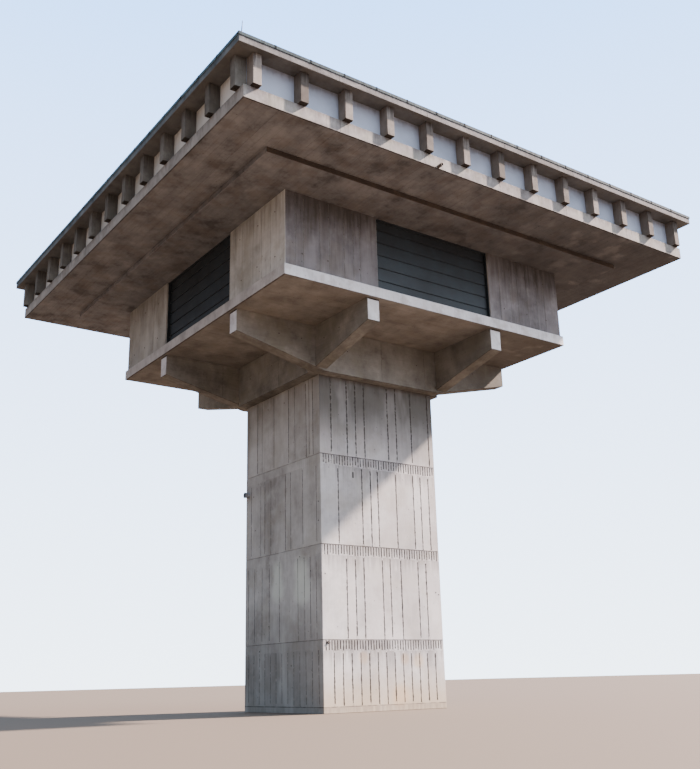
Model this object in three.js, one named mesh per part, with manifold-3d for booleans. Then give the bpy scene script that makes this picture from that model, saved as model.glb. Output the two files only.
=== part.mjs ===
// Water tower of board-marked concrete, in millimetres, +Z up.
// The origin is the centre of the shaft's foot. Front is the -Y side, left is the -X side.
// A hollow square shaft, cast in lifts, carries two pairs of crossed beams whose tapered ends
// stick out on every side. On them lie a platform slab, a storey of corner walls and dark infills,
// and a wide tank storey with a row of fins on each side under a thin roof.
import * as THREE from 'three';
import { mergeVertices } from 'three/addons/utils/BufferGeometryUtils.js';
import Module from 'manifold-3d';

const wasm = await Module();
wasm.setup();

// Shaft
const SHAFT_HALF = 2250;
const SHAFT_WALL = 300;
const LIFT_TOPS = [2000, 4720, 7440, 9930];

// Crossed beams
const BEAM_OUTER = 2610;        // from the tower's axis to a beam's outer face
const BEAM_WIDTH = 420;
const BEAM_REACH = 5340;        // from the axis to a beam's end
const BEAM_END_DEPTH = 680;
const BEAM_BOTTOM = LIFT_TOPS[3];
const BEAM_TOP = 11330;

// Platform slab
const PLATFORM_HALF = 5450;
const PLATFORM_TOP = 11660;

// Walled storey
const WALL_OUTER = 5390;
const WALL_THICKNESS = 300;
const WALL_TOP = 13930;
const INFILL_HALF = 2230;       // half the width of the opening between two walls
const INFILL_SETBACK = 140;
const INFILL_DEPTH = 90;
const INFILL_BOARD = 405;       // height of one board; the lowest and highest are cut short
const INFILL_LOWEST_BOARD = 330;
const INFILL_GROOVE = { width: 40, depth: 30 };

// Tank storey
const BASE_HALF = 6790;         // lower slab, a step below the tank floor
const FLOOR_BOTTOM = 14080;
const FLOOR_HALF = 8350;
const FLOOR_TOP = 14450;
const FIN_COUNT = 13;
const FIN_WIDTH = 240;
const FIN_FRONT = 8490;         // fins stand out past the floor's edge
const FIN_CORNER_GAP = 180;     // from the floor's corner to the first fin
const FIN_BACK = FLOOR_HALF - FIN_CORNER_GAP;
const SILL_FRONT = FIN_BACK + 50;
const SILL_BACK = FIN_BACK - 110;
const SILL_HEIGHT = 80;
const PANEL_BACK = FIN_BACK - 80;
const ROOF_BOTTOM = 15320;

// Roof
const ROOF_HALF = 8660;
const ROOF_TOP = 15540;
const FLASHING_OVERHANG = 15;
const FLASHING_WIDTH = 100;
const FLASHING_HEIGHT = 55;

// Small fittings
const ROD_RADIUS = 14;
const ROD_HEIGHT = 520;
const ROD_INSET = 140;          // from the roof's corner to the rod, along both sides
const ROD_FOOT_RADIUS = 45;
const ROD_FOOT_HEIGHT = 30;
const SPOUT_X = -2320;
const SPOUT_RADIUS = 45;
const SPOUT_LENGTH = 170;
const LAMP_RADIUS = 95;
const LAMP_LENGTH = 160;
const LAMP_CENTRE = { y: 2080, z: 6860 };

const FINISHES = {
  shaftConcrete: { color: 0xbdb8b2, roughness: 0.92, metalness: 0 },
  beamConcrete: { color: 0xa39a90, roughness: 0.92, metalness: 0 },
  slabConcrete: { color: 0xb5b3b0, roughness: 0.9, metalness: 0 },
  wallConcrete: { color: 0xb0aaa4, roughness: 0.92, metalness: 0 },
  finConcrete: { color: 0xa9a39b, roughness: 0.9, metalness: 0 },
  panel: { color: 0xc5c8cc, roughness: 0.55, metalness: 0 },
  infillMetal: { color: 0x3a424b, roughness: 0.5, metalness: 0.6 },
  flashingMetal: { color: 0x31505c, roughness: 0.45, metalness: 0.7 },
  darkMetal: { color: 0x2b2b2b, roughness: 0.5, metalness: 0.8 },
};

const tower = new THREE.Group();

// Hang a mesh with its own material on a group.
function addMesh(parent, name, geometry, finish) {
  const mesh = new THREE.Mesh(geometry, new THREE.MeshStandardMaterial(FINISHES[finish]));
  mesh.name = name;
  parent.add(mesh);
  return mesh;
}

// A box from its lowest to its highest corner.
function boxBetween(low, high) {
  const box = new THREE.BoxGeometry(high[0] - low[0], high[1] - low[1], high[2] - low[2]);
  box.translate((low[0] + high[0]) / 2, (low[1] + high[1]) / 2, (low[2] + high[2]) / 2);
  return box;
}

// An outline of [across, up] points, extruded along X from x0 to x1.
// across is the distance from the tower's axis towards the front, so it becomes -Y.
function profileAlongX(points, x0, x1) {
  const shape = new THREE.Shape(points.map(([across, up]) => new THREE.Vector2(-across, up)));
  const solid = new THREE.ExtrudeGeometry(shape, { depth: x1 - x0, bevelEnabled: false, steps: 1 });
  const turn = new THREE.Matrix4().set(
    0, 0, 1, x0,
    1, 0, 0, 0,
    0, 1, 0, 0,
    0, 0, 0, 1,
  );
  return solid.applyMatrix4(turn);
}

// Closed solid for joining and cutting.
function toSolid(geometry) {
  const bare = geometry.clone();
  bare.deleteAttribute('normal');
  bare.deleteAttribute('uv');
  const merged = mergeVertices(bare, 1e-4);
  return new wasm.Manifold(new wasm.Mesh({
    numProp: 3,
    vertProperties: new Float32Array(merged.attributes.position.array),
    triVerts: new Uint32Array(merged.index.array),
  }));
}

// Back from a joined or cut solid to a geometry.
function toGeometry(solid) {
  const mesh = solid.getMesh();
  const geometry = new THREE.BufferGeometry();
  geometry.setAttribute('position', new THREE.BufferAttribute(mesh.vertProperties, 3));
  geometry.setIndex(new THREE.BufferAttribute(mesh.triVerts, 1));
  geometry.computeVertexNormals();
  return geometry;
}

// Join several geometries into one body.
function join(geometries) {
  return toGeometry(geometries.map(toSolid).reduce((whole, piece) => whole.add(piece)));
}

// One side of the tower: the front is built in place, the others are quarter turns of it.
const SIDES = ['front', 'right', 'back', 'left'];

function sideGroup(index) {
  const group = new THREE.Group();
  group.rotation.z = index * Math.PI / 2;
  tower.add(group);
  return group;
}

// A square ring of concrete, standing from bottom to top.
function squareRing(outerHalf, innerHalf, bottom, top) {
  const outline = (half) => [[-half, -half], [half, -half], [half, half], [-half, half]]
    .map(([x, y]) => new THREE.Vector2(x, y));
  const ring = new THREE.Shape(outline(outerHalf));
  ring.holes.push(new THREE.Path(outline(innerHalf)));
  const solid = new THREE.ExtrudeGeometry(ring, { depth: top - bottom, bevelEnabled: false, steps: 1 });
  return solid.translate(0, 0, bottom);
}

// The shaft's lifts, and its head, which runs on up inside the beams to the platform.
function addShaft() {
  const inner = SHAFT_HALF - SHAFT_WALL;
  LIFT_TOPS.forEach((top, index) => {
    const bottom = index === 0 ? 0 : LIFT_TOPS[index - 1];
    addMesh(tower, `shaft_lift_${index + 1}`, squareRing(SHAFT_HALF, inner, bottom, top), 'shaftConcrete');
  });
  const head = squareRing(BEAM_OUTER - BEAM_WIDTH, inner, BEAM_BOTTOM, BEAM_TOP);
  addMesh(tower, 'shaft_head', head, 'beamConcrete');
}

// Underside of a beam at a distance from the axis: flat over the shaft, then sloping up.
function beamUnderside(distance) {
  const rise = BEAM_TOP - BEAM_END_DEPTH - BEAM_BOTTOM;
  const past = Math.max(0, distance - SHAFT_HALF);
  return BEAM_BOTTOM + rise * past / (BEAM_REACH - SHAFT_HALF);
}

// A beam's side view as an outline of [along, up], from one distance to another.
function beamOutline(from, to) {
  const knees = [-SHAFT_HALF, SHAFT_HALF].filter((knee) => knee > from && knee < to);
  const under = [from, ...knees, to].map((along) => [along, beamUnderside(Math.abs(along))]);
  return [...under, [to, BEAM_TOP], [from, BEAM_TOP]];
}

// A length of beam along Y, whose outer face is on the +X or -X side.
function beamAlongY(side, from, to) {
  const inner = BEAM_OUTER - BEAM_WIDTH;
  const x0 = side > 0 ? inner : -BEAM_OUTER;
  return profileAlongX(beamOutline(from, to).map(([along, up]) => [-along, up]), x0, x0 + BEAM_WIDTH);
}

// The same length of beam, laid along X.
function beamAlongX(side, from, to) {
  const swap = new THREE.Matrix4().set(
    0, 1, 0, 0,
    -1, 0, 0, 0,
    0, 0, 1, 0,
    0, 0, 0, 1,
  );
  return beamAlongY(-side, from, to).applyMatrix4(swap);
}

// The front and back beams run through; the left and right beams meet them in three lengths.
function addBeams() {
  const inner = BEAM_OUTER - BEAM_WIDTH;
  for (const [name, side] of [['front', -1], ['back', 1]]) {
    addMesh(tower, `beam_${name}`, beamAlongX(side, -BEAM_REACH, BEAM_REACH), 'beamConcrete');
  }
  for (const [name, side] of [['left', -1], ['right', 1]]) {
    addMesh(tower, `beam_${name}_middle`, beamAlongY(side, -inner, inner), 'beamConcrete');
    addMesh(tower, `beam_${name}_front_end`, beamAlongY(side, -BEAM_REACH, -BEAM_OUTER), 'beamConcrete');
    addMesh(tower, `beam_${name}_back_end`, beamAlongY(side, BEAM_OUTER, BEAM_REACH), 'beamConcrete');
  }
}

// A square slab centred on the axis.
function addSlab(name, half, bottom, top) {
  addMesh(tower, name, boxBetween([-half, -half, bottom], [half, half, top]), 'slabConcrete');
}

// Two lengths of wall on a side, each named for the end it stands at.
// The front and back walls take the corners.
const WALL_ENDS = [['left', 'right'], ['front', 'back'], ['right', 'left'], ['back', 'front']];

function addWalls(side, index) {
  const corner = index % 2 === 0 ? WALL_OUTER : WALL_OUTER - WALL_THICKNESS;
  const inner = -(WALL_OUTER - WALL_THICKNESS);
  const spans = [[-corner, -INFILL_HALF], [INFILL_HALF, corner]];
  spans.forEach(([from, to], end) => {
    const wall = boxBetween([from, -WALL_OUTER, PLATFORM_TOP], [to, inner, WALL_TOP]);
    addMesh(side, `wall_${SIDES[index]}_${WALL_ENDS[index][end]}`, wall, 'wallConcrete');
  });
}

// The infill between two walls: broad level boards with a groove between each two.
function infillGeometry() {
  const front = WALL_OUTER - INFILL_SETBACK;
  const back = front - INFILL_DEPTH;
  const sunk = front - INFILL_GROOVE.depth;
  const half = INFILL_GROOVE.width / 2;
  const outline = [[back, WALL_TOP], [back, PLATFORM_TOP], [front, PLATFORM_TOP]];
  for (let joint = PLATFORM_TOP + INFILL_LOWEST_BOARD; joint < WALL_TOP; joint += INFILL_BOARD) {
    outline.push([front, joint - half], [sunk, joint - half], [sunk, joint + half], [front, joint + half]);
  }
  outline.push([front, WALL_TOP]);
  return profileAlongX(outline, -INFILL_HALF, INFILL_HALF);
}

// Fins in a row, standing on a low sill that joins them.
function finRowGeometry(index) {
  const reach = FLOOR_HALF - FIN_CORNER_GAP;
  const pitch = (2 * reach - FIN_WIDTH) / (FIN_COUNT - 1);
  const fins = Array.from({ length: FIN_COUNT }, (_, i) => {
    const x = -reach + pitch * i;
    return boxBetween([x, -FIN_FRONT, FLOOR_TOP], [x + FIN_WIDTH, -FIN_BACK, ROOF_BOTTOM]);
  });
  const end = index % 2 === 0 ? FIN_BACK : SILL_BACK;
  const sill = boxBetween([-end, -SILL_FRONT, FLOOR_TOP], [end, -SILL_BACK, FLOOR_TOP + SILL_HEIGHT]);
  return join([sill, ...fins]);
}

// The smooth panel wall behind a row of fins.
function panelGeometry(index) {
  const end = index % 2 === 0 ? FIN_BACK : PANEL_BACK;
  return boxBetween([-end, -FIN_BACK, FLOOR_TOP + SILL_HEIGHT], [end, -PANEL_BACK, ROOF_BOTTOM]);
}

// The metal flashing that caps one edge of the roof.
function flashingGeometry(index) {
  const outer = ROOF_HALF + FLASHING_OVERHANG;
  const inner = outer - FLASHING_WIDTH;
  const end = index % 2 === 0 ? outer : inner;
  return boxBetween([-end, -outer, ROOF_TOP], [end, -inner, ROOF_TOP + FLASHING_HEIGHT]);
}

// A lightning rod on a round foot, as one lathed profile.
function addLightningRod() {
  const profile = [[0, 0], [ROD_FOOT_RADIUS, 0], [ROD_FOOT_RADIUS, ROD_FOOT_HEIGHT],
    [ROD_RADIUS, ROD_FOOT_HEIGHT], [ROD_RADIUS, ROD_HEIGHT - ROD_RADIUS * 3], [0, ROD_HEIGHT]];
  const rod = new THREE.LatheGeometry(profile.map(([r, z]) => new THREE.Vector2(r, z)), 16);
  rod.rotateX(Math.PI / 2);
  const mesh = addMesh(tower, 'lightning_rod', rod, 'darkMetal');
  mesh.position.set(-ROOF_HALF + ROD_INSET, -ROOF_HALF + ROD_INSET, ROOF_TOP);
}

// A short drain spout through the front edge of the tank floor.
function addSpout() {
  const spout = new THREE.CylinderGeometry(SPOUT_RADIUS, SPOUT_RADIUS, SPOUT_LENGTH, 16);
  const mesh = addMesh(tower, 'drain_spout', spout, 'darkMetal');
  mesh.position.set(SPOUT_X, -FLOOR_HALF - SPOUT_LENGTH / 2, FLOOR_BOTTOM + SPOUT_RADIUS + 15);
}

// A small round lamp on the left face of the shaft, by its back edge.
function addLamp() {
  const drum = new THREE.CylinderGeometry(LAMP_RADIUS, LAMP_RADIUS, LAMP_LENGTH, 16);
  drum.rotateZ(Math.PI / 2);
  const mesh = addMesh(tower, 'shaft_lamp', drum, 'darkMetal');
  mesh.position.set(-SHAFT_HALF - LAMP_LENGTH / 2, LAMP_CENTRE.y, LAMP_CENTRE.z);
}

addShaft();
addBeams();
addSlab('platform_slab', PLATFORM_HALF, BEAM_TOP, PLATFORM_TOP);
addSlab('tank_base_slab', BASE_HALF, WALL_TOP, FLOOR_BOTTOM);
addSlab('tank_floor_slab', FLOOR_HALF, FLOOR_BOTTOM, FLOOR_TOP);
addSlab('roof_slab', ROOF_HALF, ROOF_BOTTOM, ROOF_TOP);
SIDES.forEach((name, index) => {
  const side = sideGroup(index);
  addWalls(side, index);
  addMesh(side, `infill_${name}`, infillGeometry(), 'infillMetal');
  addMesh(side, `fin_row_${name}`, finRowGeometry(index), 'finConcrete');
  addMesh(side, `fascia_panel_${name}`, panelGeometry(index), 'panel');
  addMesh(side, `roof_flashing_${name}`, flashingGeometry(index), 'flashingMetal');
});
addLightningRod();
addSpout();
addLamp();

export default tower;
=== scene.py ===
"""Looks of a board-marked concrete water tower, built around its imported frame, in metres, +Z up.

The front is the -Y side and the left the -X side. A hollow shaft cast in lifts carries crossed
beams, a platform, a storey of corner walls with dark infills, and a wide tank storey with a row of
fins on each side under a thin flat roof.
"""

import logging
import math
import random
from collections.abc import Callable, Iterable, Iterator, Sequence
from dataclasses import dataclass
from enum import Enum
from functools import cache, partial

import bmesh
import bpy
from bmesh.types import BMEdge, BMesh, BMFace, BMVert
from mathutils import Matrix, Vector


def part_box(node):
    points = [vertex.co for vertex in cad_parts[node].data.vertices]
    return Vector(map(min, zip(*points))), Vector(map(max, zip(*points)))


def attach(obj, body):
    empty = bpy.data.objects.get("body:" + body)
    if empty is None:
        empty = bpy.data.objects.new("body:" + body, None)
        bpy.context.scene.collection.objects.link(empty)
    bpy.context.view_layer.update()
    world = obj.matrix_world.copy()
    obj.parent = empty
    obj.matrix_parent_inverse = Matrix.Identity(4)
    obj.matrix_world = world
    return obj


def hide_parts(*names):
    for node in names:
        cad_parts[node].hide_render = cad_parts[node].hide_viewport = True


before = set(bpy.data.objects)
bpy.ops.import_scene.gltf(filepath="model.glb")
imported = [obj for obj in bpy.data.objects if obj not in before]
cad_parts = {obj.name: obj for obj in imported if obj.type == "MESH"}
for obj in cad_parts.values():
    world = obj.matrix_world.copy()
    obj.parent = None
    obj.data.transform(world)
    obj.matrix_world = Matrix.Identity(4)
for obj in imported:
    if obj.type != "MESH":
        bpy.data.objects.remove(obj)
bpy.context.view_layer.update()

Socket = bpy.types.NodeSocket
Adder = Callable[..., Sequence[Socket]]

LOG = logging.getLogger("water_tower")
BODY = "root"
TIGHT = 1e-4                    # metres, within which two places count as the same
CLEAN_END = 0.1                 # metres of dirt-free distance added at a field's outer edges
UP, DOWN = Vector((0, 0, 1)), Vector((0, 0, -1))
ALONG_X, ALONG_Y = Vector((1, 0, 0)), Vector((0, 1, 0))


class Side(Enum):
    """The tower's four sides, by their quarter turns from the front."""

    FRONT = 0
    RIGHT = 1
    BACK = 2
    LEFT = 3

    @property
    def word(self) -> str:
        """The side's name as the nodes have it."""
        return self.name.lower()

    @property
    def like_front(self) -> bool:
        """Whether it is the front, or the back, which repeats the front."""
        return self in (Side.FRONT, Side.BACK)

    @property
    def turn(self) -> Matrix:
        """The turn that takes the front to this side."""
        return Matrix.Rotation(self.value * math.pi / 2, 3, "Z")

    @property
    def out(self) -> Vector:
        """The direction that this side faces."""
        return self.turn @ Vector((0, -1, 0))

    @property
    def across(self) -> Vector:
        """The direction along this side, from its left end to its right end, seen from outside."""
        return self.turn @ Vector((1, 0, 0))


class Grain(Enum):
    """The direction that the shuttering boards ran in, as the axes across it."""

    UPRIGHT = (1.0, 1.0, 0.0)
    ALONG_X = (0.0, 1.0, 1.0)
    ALONG_Y = (1.0, 0.0, 1.0)


def linear(hex_colour: str) -> tuple[float, float, float, float]:
    """Turns an sRGB hex colour into the linear colour that a shader takes.

    Args:
        hex_colour: Six hex digits.

    Returns:
        Red, green, blue and alpha, each from 0 to 1.
    """
    parts = [int(hex_colour[i:i + 2], 16) / 255 for i in (0, 2, 4)]
    red, green, blue = (c / 12.92 if c <= 0.04045 else ((c + 0.055) / 1.055) ** 2.4 for c in parts)
    return red, green, blue, 1.0


def add_node(tree: bpy.types.NodeTree, kind: str, links: dict | None = None,
             **settings) -> Sequence[Socket]:
    """Adds a node to a tree, with its settings, its values and its links.

    Args:
        tree: The node tree of a material or of the world.
        kind: The node's type name, after the words that every one starts with.
        links: For each input, by name or by number, the value it has or the socket it is linked to.
        settings: The node's own properties.

    Returns:
        The new node's outputs.
    """
    node = tree.nodes.new(f"ShaderNode{kind}")
    for name, value in settings.items():
        setattr(node, name, value)
    for name, value in (links or {}).items():
        if isinstance(value, Socket):
            tree.links.new(value, node.inputs[name])
        else:
            node.inputs[name].default_value = value
    return node.outputs


def emptied(owner: bpy.types.Material | bpy.types.World) -> Adder:
    """Clears the node tree of a material or of the world, and gives what adds nodes to it.

    Args:
        owner: The material or the world.

    Returns:
        What adds a node to its tree.
    """
    owner.use_nodes = True
    owner.node_tree.nodes.clear()
    return partial(add_node, owner.node_tree)


def overlaid(add: Adder, colour: object,
             *layers: tuple[object, Socket, tuple[float, float], float]) -> Socket:
    """Lays colours over one another where their patterns are strong.

    Args:
        add: What adds a node to the material's tree.
        colour: The lowest colour, or its socket.
        layers: Each colour from the bottom up, with its pattern's value, the values at which it
            starts and is strongest, and the most that it covers.

    Returns:
        The socket of the new colour.
    """
    for over, pattern, (start, full), strength in layers:
        share = add("MapRange", {"Value": pattern, "From Min": start, "From Max": full, "To Max": strength},
            interpolation_type="SMOOTHSTEP")[0]
        colour = add("Mix", {0: share, 6: colour, 7: over}, data_type="RGBA")[2]
    return colour


# Finishes

@dataclass(frozen=True)
class Finish:
    """What every finish has: a name, and one way to become a material."""

    name: str

    def build(self) -> bpy.types.Material:
        """Builds the node material of this finish."""
        material = bpy.data.materials.new(self.name)
        add = emptied(material)
        spot = add("TexCoord")["Object"]
        tone = add("Attribute", attribute_name="tone")["Fac"]
        shader = add("BsdfPrincipled", self.surface(add, spot, tone))
        add("OutputMaterial", {"Surface": shader[0]})
        return material

    def surface(self, add: Adder, spot: Socket, tone: Socket) -> dict[str, object]:
        """What the shader takes, which each kind of finish says.

        Args:
            add: What adds a node to the material's tree.
            spot: The place on the object.
            tone: How pale the face is, from -1 to 1.

        Returns:
            The shader's inputs, as values or sockets.
        """
        raise NotImplementedError


@dataclass(frozen=True)
class Tide:
    """A change of tone that sets in along one direction. Some are stains that old rain and shelter leave;
    those that grow along X are painted shade, darker towards the right.
    """

    colour: str
    way: Vector                     # the direction in which it grows
    start_m: float                  # how far along that direction it sets in
    full_m: float                   # and how far along it is strongest
    strength: float
    ragged_m: float = 0.5           # how far its streaks run ahead and behind


@dataclass(frozen=True)
class CastConcrete(Finish):
    """Concrete cast against sawn boards, left as struck.

    It is matt and grey, mottled in clouds that turn from grey to brown, streaked along the boards,
    and soiled by dark seams, water runs below its edges, lime bloom and small blow holes. Some
    finishes also carry painted shade: tides along X, faces marked dark under edges and on beams,
    and the wide dark seam margins of the fascia panels.
    """

    body: str
    pale: str
    dark: str
    stain: str
    tinge: str
    grain: Grain = Grain.UPRIGHT
    grain_mm: float = 45.0          # sawn grain is finer, and is drawn this coarse so that it shows
    grain_strength: float = 0.4
    cloud_mm: float = 1300.0
    cloud_strength: float = 0.75
    tinge_strength: float = 0.45
    board_tint: float = 0.2
    seam_mm: float = 30.0
    seam_strength: float = 0.8
    run_mm: float = 150.0
    run_strength: float = 0.35
    run_depth_m: float = 1.1
    bloom_strength: float = 0.35
    pit_strength: float = 0.5
    blush: str = "b6b0ae"
    blush_strength: float = 0.0     # how far some boards turn to that tint
    tides: tuple[Tide, ...] = ()
    mark: str = "b3966f"
    mark_strength: float = 0.42
    marks: tuple[tuple[float, float, float, float], ...] = ()    # single marks: place and radius
    roughness: float = 0.9

    def surface(self, add: Adder, spot: Socket, tone: Socket) -> dict[str, object]:
        """A soiled colour with painted shade where a finish has it, a bump of sawn grain and grit, and
        hardly any sheen.

        Args:
            add: What adds a node to the material's tree.
            spot: The place on the object.
            tone: How pale the face is.

        Returns:
            The shader's inputs.
        """
        runs = self._drawn_out(add, spot, self.run_mm, 4.0, 14.0)
        colour = self._soiled(add, spot, runs, self._weathered(add, spot, tone, runs))
        grain = self._drawn_out(add, spot, self.grain_mm / 3, 3.0)
        fine = add("TexNoise", {"Vector": spot, "Scale": 90.0, "Detail": 3.0})["Fac"]
        height = add("Math", {0: grain, 1: fine}, operation="ADD")[0]
        bump = add("Bump", {"Height": height, "Strength": 0.5, "Distance": 0.004})[0]
        rough = add("MapRange", {
            "Value": fine, "To Min": self.roughness - 0.08, "To Max": self.roughness + 0.06})[0]
        return {"Base Color": colour, "Roughness": rough, "Normal": bump, "Specular IOR Level": 0.2}

    def _drawn_out(self, add: Adder, spot: Socket, width_mm: float, detail: float,
                   ratio: float = 26.0) -> Socket:
        """Streaks along the boards, as a value from 0 to 1.

        Args:
            add: What adds a node to the material's tree.
            spot: The place on the object.
            width_mm: How wide a streak is.
            detail: How much finer detail it has.
            ratio: How many times longer than wide a streak is.

        Returns:
            The socket of the value.
        """
        scale = [1000 / width_mm / (1 if share else ratio) for share in self.grain.value]
        drawn = add("Mapping", {"Vector": spot, "Scale": scale})[0]
        return add("TexNoise", {"Vector": drawn, "Scale": 1.0, "Detail": detail, "Roughness": 0.6})["Fac"]

    def _weathered(self, add: Adder, spot: Socket, tone: Socket, runs: Socket) -> Socket:
        """The concrete's own colour: clouds, a tinge, grain, a tone for each board, tides and marks.

        Args:
            add: What adds a node to the material's tree.
            spot: The place on the object.
            tone: How pale the board is.
            runs: The streaks that make the tides ragged.

        Returns:
            The socket of the colour.
        """
        pale, dark, strong = linear(self.pale), linear(self.dark), self.cloud_strength
        cloud = add("TexNoise", {
            "Vector": spot, "Scale": 1000 / self.cloud_mm, "Detail": 7.0, "Roughness": 0.68})["Fac"]
        moved = add("Mapping", {"Vector": spot, "Location": (7.3, 2.9, 5.1)})[0]
        patch = add("TexNoise", {
            "Vector": moved, "Scale": 1400 / self.cloud_mm, "Detail": 5.0, "Roughness": 0.6})["Fac"]
        grain = self._drawn_out(add, spot, self.grain_mm, 4.0)
        colour = overlaid(
            add, linear(self.body), (pale, cloud, (0.47, 0.66), strong), (dark, cloud, (0.5, 0.34), strong),
            (linear(self.tinge), patch, (0.46, 0.64), self.tinge_strength),
            (dark, grain, (0.5, 0.72), self.grain_strength),
            (pale, grain, (0.5, 0.28), self.grain_strength * 0.7),
            (dark, tone, (0.0, -1.0), self.board_tint), (pale, tone, (0.0, 1.0), self.board_tint))
        if self.blush_strength:
            turned = add("Math", {0: tone, 1: 7.3}, operation="MULTIPLY")[0]
            turned = add("Math", {0: turned}, operation="FRACT")[0]
            colour = overlaid(add, colour, (linear(self.blush), turned, (0.4, 1.0), self.blush_strength))
        for tide in self.tides:
            reach = add("VectorMath", {0: spot, 1: tide.way}, operation="DOT_PRODUCT")["Value"]
            uneven = add("Math", {0: runs, 1: tide.ragged_m, 2: reach}, operation="MULTIPLY_ADD")[0]
            span = (tide.start_m + tide.ragged_m / 2, tide.full_m + tide.ragged_m / 2)
            colour = overlaid(add, colour, (linear(tide.colour), uneven, span, tide.strength))
        for *centre, radius in self.marks:
            moved = add("Mapping", {
                "Vector": spot, "Location": [-c / radius for c in centre], "Scale": [1 / radius] * 3})[0]
            whole = add("TexGradient", {"Vector": moved}, gradient_type="SPHERICAL")["Fac"]
            ragged = add("Math", {0: whole, 1: cloud}, operation="MULTIPLY")[0]
            colour = overlaid(add, colour, (linear(self.mark), ragged, (0.06, 0.36), self.mark_strength))
        return colour

    def _soiled(self, add: Adder, spot: Socket, runs: Socket, colour: Socket) -> Socket:
        """The dirt and painted shade on it: lime bloom, water runs, dark seams, blow holes, and the stains
        and painted shade that faces are marked with.

        Args:
            add: What adds a node to the material's tree.
            spot: The place on the object.
            runs: The streaks that water runs along.
            colour: The concrete's own colour.

        Returns:
            The socket of the soiled colour.
        """
        place = add("Attribute", attribute_name="place")["Vector"]
        damp = add("Attribute", attribute_name="damp")["Fac"]
        left, width, below = add("SeparateXYZ", {"Vector": place})
        right = add("Math", {0: width, 1: left}, operation="SUBTRACT")[0]
        edge = add("Math", {0: left, 1: right}, operation="MINIMUM")[0]
        boarded = add("Math", {0: width, 1: 0.001}, operation="GREATER_THAN")[0]
        spots = add("TexNoise", {"Vector": spot, "Scale": 4.5, "Detail": 5.0, "Roughness": 0.65})["Fac"]
        beads = add("TexNoise", {"Vector": spot, "Scale": 9.0, "Detail": 3.0, "Roughness": 0.6})["Fac"]
        seam = add("MapRange", {"Value": edge, "From Min": self.seam_mm / 1000, "From Max": 0.0})[0]
        for share in (boarded, beads):
            seam = add("Math", {0: seam, 1: share}, operation="MULTIPLY")[0]
        near_top = add("MapRange", {"Value": below, "From Min": self.run_depth_m, "From Max": 0.0})[0]
        for share in (near_top, boarded):
            runs = add("Math", {0: runs, 1: share}, operation="MULTIPLY")[0]
        drawn = add("Mapping", {"Vector": spot, "Location": (3.1, 1.7, 0.4), "Scale": (1.5, 1.5, 0.5)})[0]
        bloom = add("TexNoise", {"Vector": drawn, "Scale": 1.0, "Detail": 3.0, "Roughness": 0.45})["Fac"]
        pits = add("TexVoronoi", {"Vector": spot, "Scale": 3.4})["Distance"]
        patchy = add("MapRange", {"Value": spots, "From Min": 0.36, "From Max": 0.56, "To Min": 0.55})[0]
        damp = add("Math", {0: damp, 1: patchy}, operation="MULTIPLY")[0]
        stain = linear(self.stain)
        return overlaid(add, colour, (linear(self.pale), bloom, (0.55, 0.72), self.bloom_strength),
            (stain, runs, (0.28, 0.55), self.run_strength), (stain, seam, (0.3, 0.5), self.seam_strength),
            (stain, pits, (0.085, 0.04), self.pit_strength), (stain, damp, (0.0, 1.0), 1.0))


@dataclass(frozen=True)
class PaintedSheet(Finish):
    """Steel sheet with a coat of paint, as trims, infill boards and small fittings have.

    It has a dull sheen, with chalky fading in clouds and thin runs of dirt down its face.
    """

    coat: str
    faded: str
    dirt: str
    metallic: float = 0.0
    roughness: float = 0.5
    run_mm: float = 90.0
    dirt_strength: float = 0.5
    gloss: float = 0.5

    def surface(self, add: Adder, spot: Socket, tone: Socket) -> dict[str, object]:
        """A faded coat with runs of dirt, which are duller than the paint.

        Args:
            add: What adds a node to the material's tree.
            spot: The place on the object.
            tone: How pale the face is.

        Returns:
            The shader's inputs.
        """
        cloud = add("TexNoise", {"Vector": spot, "Scale": 1.6, "Detail": 4.0, "Roughness": 0.6})["Fac"]
        drawn = add("Mapping", {"Vector": spot, "Scale": (1000 / self.run_mm, 1000 / self.run_mm, 0.6)})[0]
        runs = add("TexNoise", {"Vector": drawn, "Scale": 1.0, "Detail": 3.0})["Fac"]
        fade = add("MapRange", {"Value": cloud, "From Min": 0.3, "From Max": 0.7})[0]
        lift = add("MapRange", {
            "Value": tone, "From Min": -1.0, "From Max": 1.0, "To Min": -0.3, "To Max": 0.3})[0]
        fade = add("Math", {0: fade, 1: lift}, operation="ADD", use_clamp=True)[0]
        soil = add("MapRange", {
            "Value": runs, "From Min": 0.45, "From Max": 0.75, "To Max": self.dirt_strength})[0]
        colour = linear(self.coat)
        for share, over in ((fade, self.faded), (soil, self.dirt)):
            colour = add("Mix", {0: share, 6: colour, 7: linear(over)}, data_type="RGBA")[2]
        rough = add("MapRange", {
            "Value": runs, "To Min": self.roughness - 0.1, "To Max": self.roughness + 0.15})[0]
        bump = add("Bump", {"Height": cloud, "Strength": 0.3, "Distance": 0.01})[0]
        return {"Base Color": colour, "Metallic": self.metallic, "Roughness": rough, "Normal": bump,
                "Specular IOR Level": self.gloss}


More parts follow.
